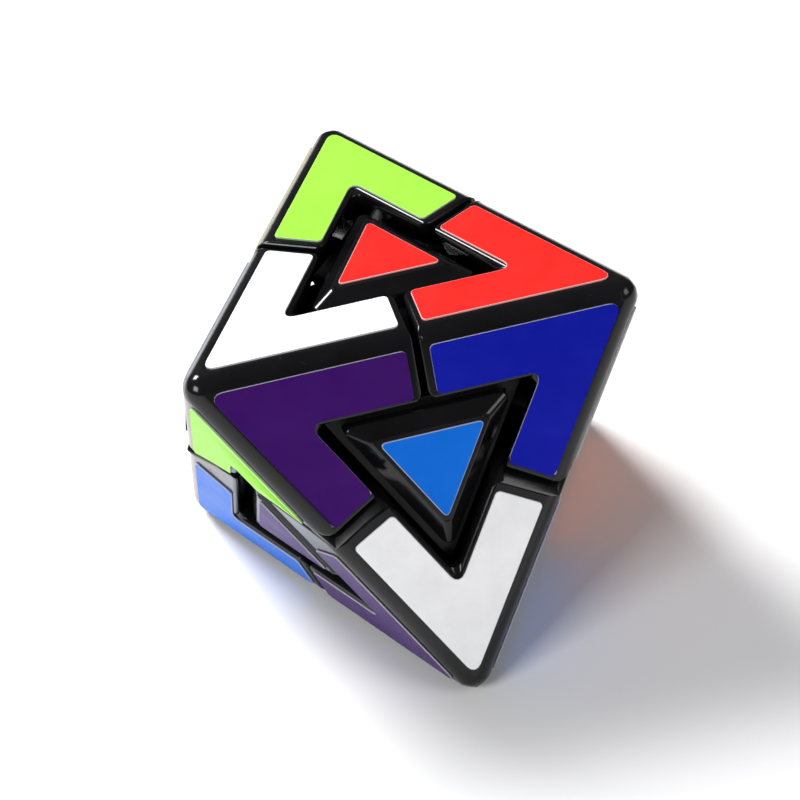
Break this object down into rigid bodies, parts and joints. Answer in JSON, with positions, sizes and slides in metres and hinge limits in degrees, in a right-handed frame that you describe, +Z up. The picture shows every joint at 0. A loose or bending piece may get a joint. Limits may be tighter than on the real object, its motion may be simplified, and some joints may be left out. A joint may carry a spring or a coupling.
{
  "type": "pyramid twisty puzzle",
  "caption": "Face-turning octahedral twisty puzzle of stickered black corner pieces and sprung centre buttons, with a layer that turns.",
  "frame": {"origin": "centre of the box's underside, on the face that the puzzle rests on", "axes": "+Z up, along the axis that the top layer turns about; +X through the middles of two opposite corners' height, towards the upper right corner; +Y to the back"},
  "size_m": [0.0742, 0.0652, 0.0539],
  "materials": {
    "black_plastic": "glossy black ABS",
    "inner_plastic": "moulded black ABS, unpolished",
    "base_plastic": "moulded black ABS",
    "screw_steel": "zinc-plated steel",
    "spring_steel": "bright spring wire",
    "washer_steel": "zinc-plated steel",
    "sticker_red": "satin vinyl sticker, red",
    "sticker_sky": "satin vinyl sticker, sky",
    "sticker_white": "satin vinyl sticker, white",
    "sticker_blue": "satin vinyl sticker, blue",
    "sticker_green": "satin vinyl sticker, green",
    "sticker_yellow": "satin vinyl sticker, yellow",
    "sticker_purple": "satin vinyl sticker, purple",
    "sticker_orange": "satin vinyl sticker, orange"
  },
  "bodies": {
    "root": {"core_spider": "inner_plastic", "centre_screws": "screw_steel", "centre_springs": "spring_steel", "spring_washers": "washer_steel", "corner_low_front": "black_plastic", "corner_low_left": "black_plastic", "corner_low_back": "black_plastic", "foot_low_front": "inner_plastic", "foot_low_left": "inner_plastic", "foot_low_back": "inner_plastic", "base_bottom": "base_plastic", "base_front": "base_plastic", "base_right_back": "base_plastic", "base_left_back": "base_plastic", "base_low_right": "base_plastic", "base_low_back": "base_plastic", "base_low_left": "base_plastic", "button_bottom": "black_plastic", "button_front": "black_plastic", "button_right_back": "black_plastic", "button_left_back": "black_plastic", "button_low_right": "black_plastic", "button_low_back": "black_plastic", "button_low_left": "black_plastic", "centre_sticker_bottom": "sticker_white", "centre_sticker_front": "sticker_sky", "centre_sticker_right_back": "sticker_yellow", "centre_sticker_left_back": "sticker_green", "centre_sticker_low_right": "sticker_orange", "centre_sticker_low_back": "sticker_blue", "centre_sticker_low_left": "sticker_purple", "stickers_lower_white": "sticker_white", "stickers_lower_sky": "sticker_sky", "stickers_lower_orange": "sticker_orange", "stickers_lower_purple": "sticker_purple", "stickers_lower_yellow": "sticker_yellow", "stickers_lower_green": "sticker_green", "sticker_bottom_front": "sticker_orange", "sticker_bottom_left": "sticker_red", "sticker_bottom_back": "sticker_purple"},
    "top_layer": {"corner_right": "black_plastic", "corner_back": "black_plastic", "corner_left": "black_plastic", "foot_right": "inner_plastic", "foot_back": "inner_plastic", "foot_left": "inner_plastic", "base_top": "base_plastic", "button_top": "black_plastic", "centre_sticker_top": "sticker_red", "stickers_upper_red": "sticker_red", "stickers_upper_sky": "sticker_sky", "stickers_upper_white": "sticker_white", "stickers_upper_blue": "sticker_blue", "stickers_upper_green": "sticker_green", "stickers_upper_yellow": "sticker_yellow", "stickers_upper_purple": "sticker_purple"}
  },
  "joints": [
    {"name": "top_layer_turn", "type": "hinge", "parent": "root", "child": "top_layer", "pos_m": [0, 0, 0.02694], "axis": [0, 0, 1], "continuous": true}
  ]
}
